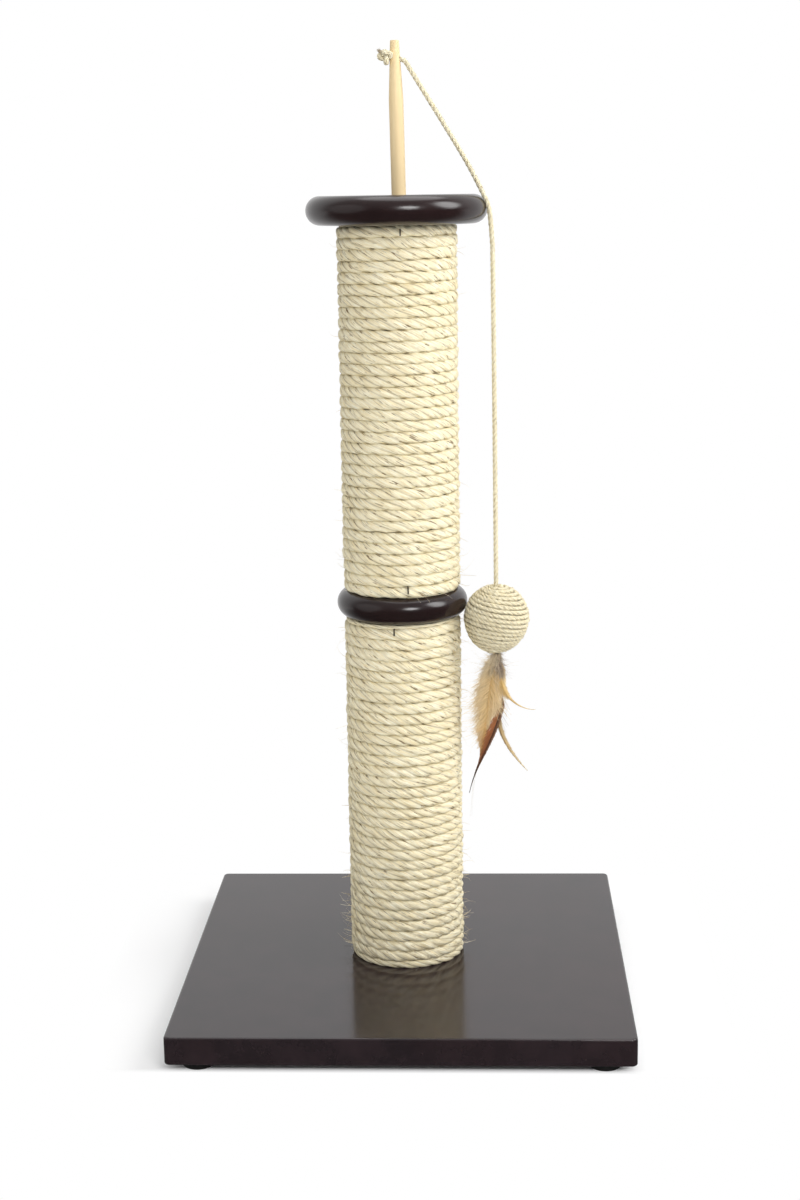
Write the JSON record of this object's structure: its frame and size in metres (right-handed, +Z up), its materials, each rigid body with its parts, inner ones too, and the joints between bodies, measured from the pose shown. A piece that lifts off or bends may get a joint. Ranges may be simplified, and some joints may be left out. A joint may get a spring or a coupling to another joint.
{
  "type": "cat scratching post",
  "caption": "Cat scratching post: square dark base on feet, rope-wound column in two sections with rounded rim discs, and a stick whose cord hangs a wound ball with feathers beside it.",
  "frame": {"origin": "bottom centre of the base, on the floor, on the post's axis", "axes": "+Z up along the post, +X to the right and -Y towards the viewer in the picture; the toy hangs on the +X side"},
  "size_m": [0.4, 0.4, 0.857],
  "materials": {
    "espresso_lacquer": "satin",
    "foot_rubber": "matte",
    "zinc_steel": "satin",
    "dark_steel": "satin",
    "core_cardboard": "matte",
    "plug_wood": "matte",
    "sisal_rope": "matte",
    "sisal_twine": "matte",
    "stick_wood": "satin",
    "ball_plastic": "matte",
    "binding_thread": "matte",
    "feather_tan": "matte",
    "feather_rust": "matte",
    "feather_gold": "matte",
    "feather_grey": "matte"
  },
  "bodies": {
    "stand": {"base_board": "espresso_lacquer", "foot_front_left": "foot_rubber", "foot_front_right": "foot_rubber", "foot_back_left": "foot_rubber", "foot_back_right": "foot_rubber", "foot_screws": "zinc_steel", "base_washer": "zinc_steel", "base_bolt": "zinc_steel", "lower_post_tube": "core_cardboard", "lower_plug_bottom": "plug_wood", "lower_insert_bottom": "zinc_steel", "lower_plug_top": "plug_wood", "lower_insert_top": "zinc_steel", "lower_sisal_rope": "sisal_rope", "middle_ring": "espresso_lacquer", "joining_stud": "zinc_steel", "upper_post_tube": "core_cardboard", "upper_plug_bottom": "plug_wood", "upper_insert_bottom": "zinc_steel", "upper_plug_top": "plug_wood", "upper_insert_top": "zinc_steel", "upper_sisal_rope": "sisal_rope", "top_disc": "espresso_lacquer", "disc_stud": "zinc_steel", "toy_stick": "stick_wood", "rope_staples": "dark_steel", "toy_cord_knot": "sisal_twine", "toy_cord_upper": "sisal_twine"},
    "cord_bend": {"toy_cord_over_rim": "sisal_twine"},
    "cord_hanging": {"toy_cord_hanging": "sisal_twine"},
    "toy": {"ball_core": "ball_plastic", "ball_winding": "sisal_twine", "toy_cord_inside_ball": "sisal_twine", "end_knot": "sisal_twine", "feather_binding": "binding_thread", "feather_gold_high": "feather_gold", "feather_tan_broad": "feather_tan", "feather_down_grey": "feather_grey", "feather_down_left": "feather_grey", "feather_gold_low": "feather_gold", "feather_rust_striped": "feather_rust"}
  },
  "joints": [
    {"name": "swing_side", "type": "hinge", "parent": "stand", "child": "cord_bend", "pos_m": [0.07982, -0.01407, 0.71571], "axis": [0.9848, -0.1736, 0], "range_deg": [-40, 40]},
    {"name": "swing_out", "type": "hinge", "parent": "cord_bend", "child": "cord_hanging", "pos_m": [0.06549, -0.01155, 0.7155], "axis": [-0.1736, -0.9848, 0], "range_deg": [0, 29], "deforming": ["toy_cord_over_rim"]},
    {"name": "toy_spin", "type": "hinge", "parent": "cord_hanging", "child": "toy", "pos_m": [0.08498, -0.01498, 0.3565], "axis": [-0.0144, 0.0025, 0.9999], "range_deg": [-180, 180]}
  ]
}
